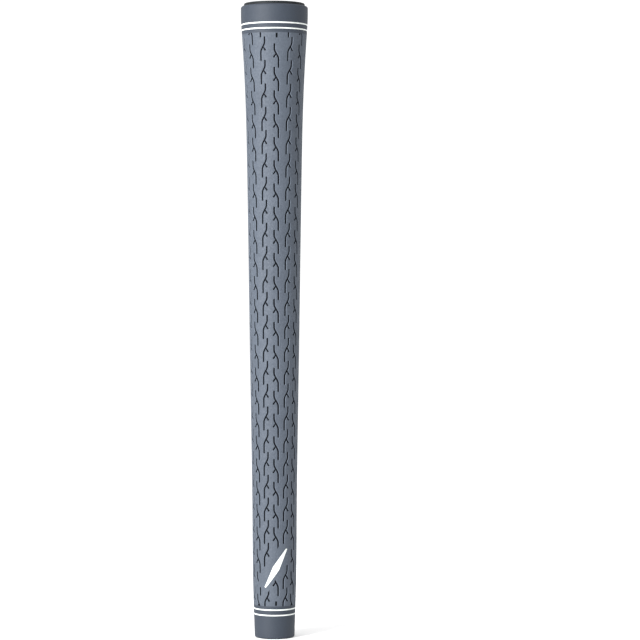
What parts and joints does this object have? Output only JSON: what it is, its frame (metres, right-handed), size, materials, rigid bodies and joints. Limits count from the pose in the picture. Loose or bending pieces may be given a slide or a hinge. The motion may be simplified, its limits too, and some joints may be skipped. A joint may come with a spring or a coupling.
{
  "type": "golf grip",
  "caption": "Tapered moulded rubber sleeve that slides over the end of a golf shaft as its handle, with a flared capped butt, engraved traction grooves and white bands.",
  "frame": {"origin": "centre of the mouth face, the open end that the shaft enters", "axes": "+Z along the shaft's axis from the mouth to the butt cap, -Y towards the front, where the lower mark is, +X to the right"},
  "size_m": [0.0282, 0.0282, 0.267],
  "materials": {
    "sleeve_rubber": "matt slate blue-grey moulded rubber, smooth at both ends and finely grained between",
    "cap_rubber": "dark charcoal hard rubber, satin",
    "ring_paint": "white flexible paint fill, satin",
    "mark_paint": "white flexible paint fill, satin"
  },
  "bodies": {
    "root": {"grip_sleeve": "sleeve_rubber", "butt_cap": "cap_rubber", "cap_ring_upper": "ring_paint", "cap_ring_lower": "ring_paint", "mouth_ring_upper": "ring_paint", "mouth_ring_lower": "ring_paint", "front_mark": "mark_paint", "back_mark": "mark_paint"}
  },
  "joints": []
}
